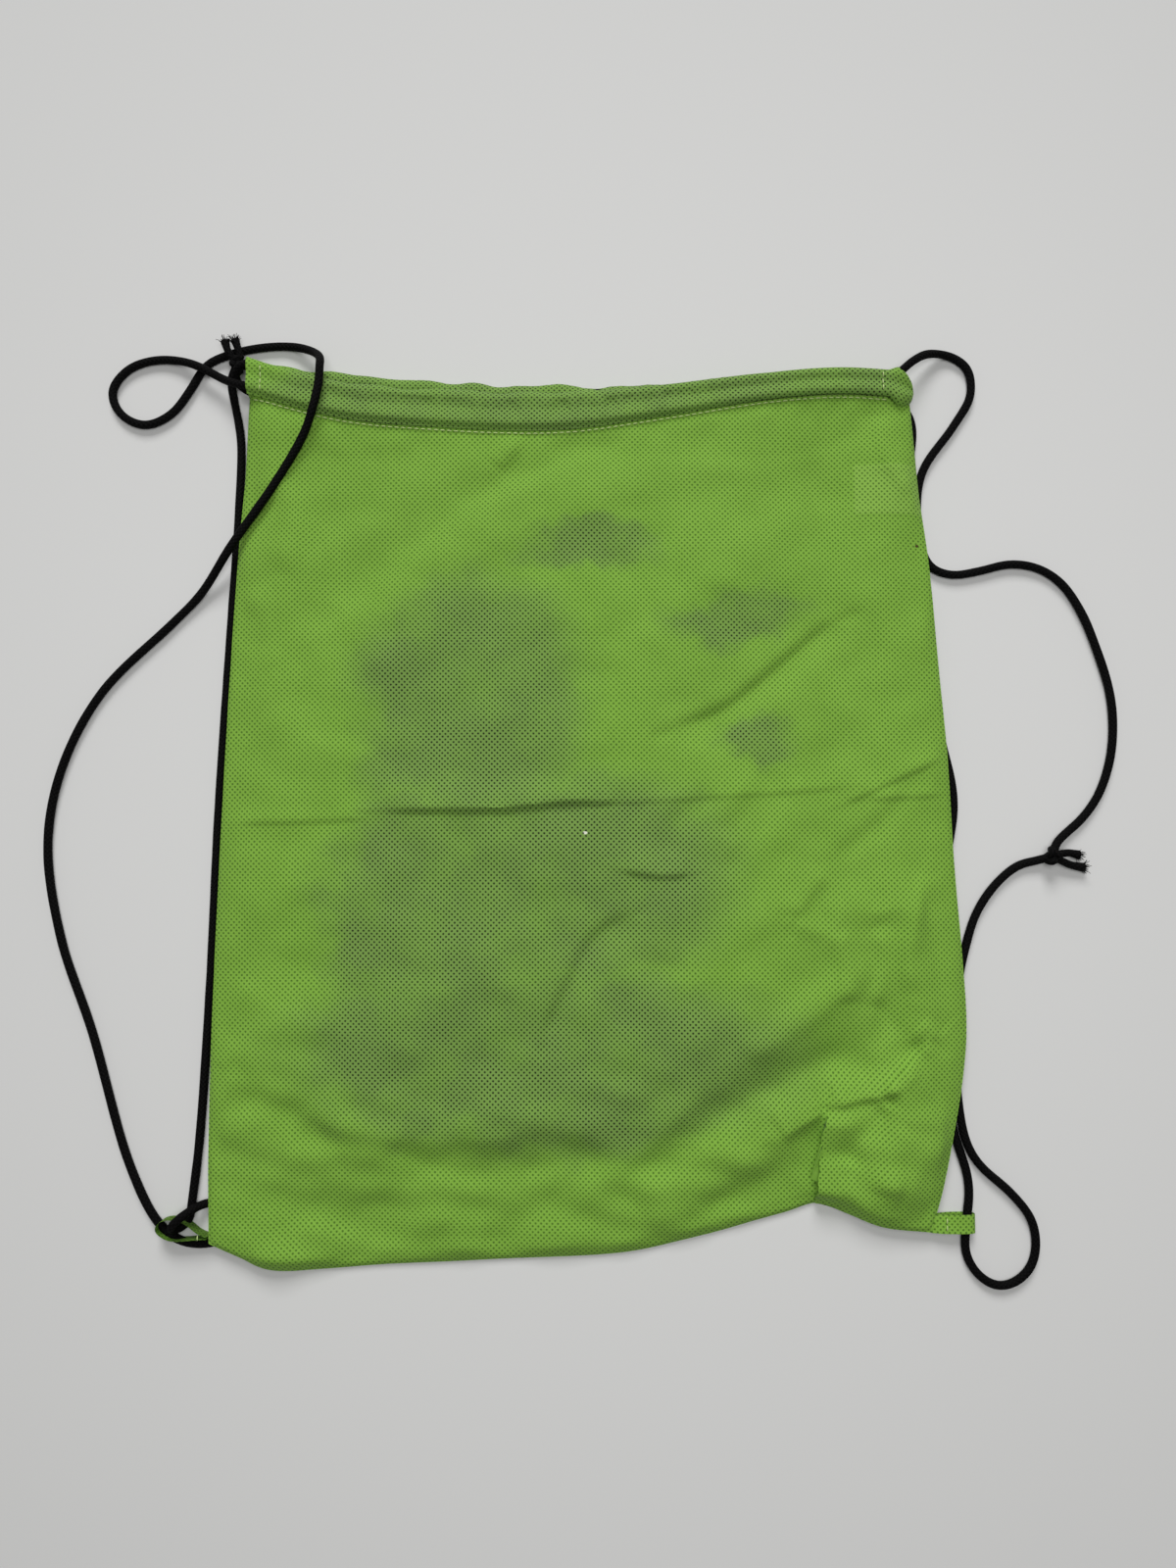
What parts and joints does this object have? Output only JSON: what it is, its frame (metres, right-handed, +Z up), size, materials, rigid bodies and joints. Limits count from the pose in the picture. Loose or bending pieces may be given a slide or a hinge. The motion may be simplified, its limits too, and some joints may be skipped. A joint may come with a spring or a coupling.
{
  "type": "laundry bag",
  "caption": "Flat drawstring laundry bag of spunbond cloth with corded casings at the mouth, bottom tabs and two looped drawcords knotted at the sides.",
  "frame": {"origin": "on the table under the middle of the bag's outline, cords left out", "axes": "+Y from the bottom fold to the mouth, +X to the right as seen from above, +Z up from the table"},
  "size_m": [0.5171, 0.4588, 0.0214],
  "materials": {
    "cloth": "matt embossed spunbond",
    "thread": "matt sewing thread",
    "cord": "braided cord",
    "label": "matt woven tape"
  },
  "bodies": {
    "cloth_body": {"front_panel": "cloth", "back_panel": "cloth", "front_casing": "cloth", "back_casing": "cloth", "front_casing_stitching": "thread", "back_casing_stitching": "thread", "left_tab": "cloth", "right_tab": "cloth", "left_tab_stitching": "thread", "right_tab_stitching": "thread"},
    "left_side": {"left_side_seam": "cloth", "left_seam_overlock": "thread", "front_left_hem_stitching": "thread", "back_left_hem_stitching": "thread"},
    "right_side": {"right_side_seam": "cloth", "right_seam_overlock": "thread", "front_right_hem_stitching": "thread", "back_right_hem_stitching": "thread", "care_label": "label"},
    "left_cord": {"left_drawcord": "cord", "left_knot": "cord", "left_knot_tail_a": "cord", "left_knot_tail_b": "cord"},
    "right_cord": {"right_drawcord": "cord", "right_knot": "cord", "right_knot_tail_a": "cord", "right_knot_tail_b": "cord"}
  },
  "joints": [
    {"name": "left_cord_pull", "type": "slide", "parent": "cloth_body", "child": "left_cord", "axis": [-1, 0, 0], "range_m": [0, 0.06], "deforming": ["left_drawcord"]},
    {"name": "right_cord_pull", "type": "slide", "parent": "cloth_body", "child": "right_cord", "axis": [1, 0, 0], "range_m": [0, 0.06], "deforming": ["right_drawcord"]},
    {"name": "right_side_gather", "type": "hinge", "parent": "cloth_body", "child": "right_side", "pos_m": [0.1705, -0.202, 0], "axis": [0, 0, 1], "range_deg": [0, 8.5], "deforming": ["front_panel", "front_casing", "front_casing_stitching"]},
    {"name": "left_side_gather", "type": "hinge", "parent": "cloth_body", "child": "left_side", "pos_m": [-0.167, -0.207, 0], "axis": [0, 0, 1], "range_deg": [-8.5, 0], "deforming": ["back_panel", "back_casing", "back_casing_stitching"]}
  ],
  "couplings": [
    {"joint": "right_side_gather", "follows": "left_cord_pull", "rad_per_m": 2.4},
    {"joint": "left_side_gather", "follows": "right_cord_pull", "rad_per_m": -2.4}
  ]
}
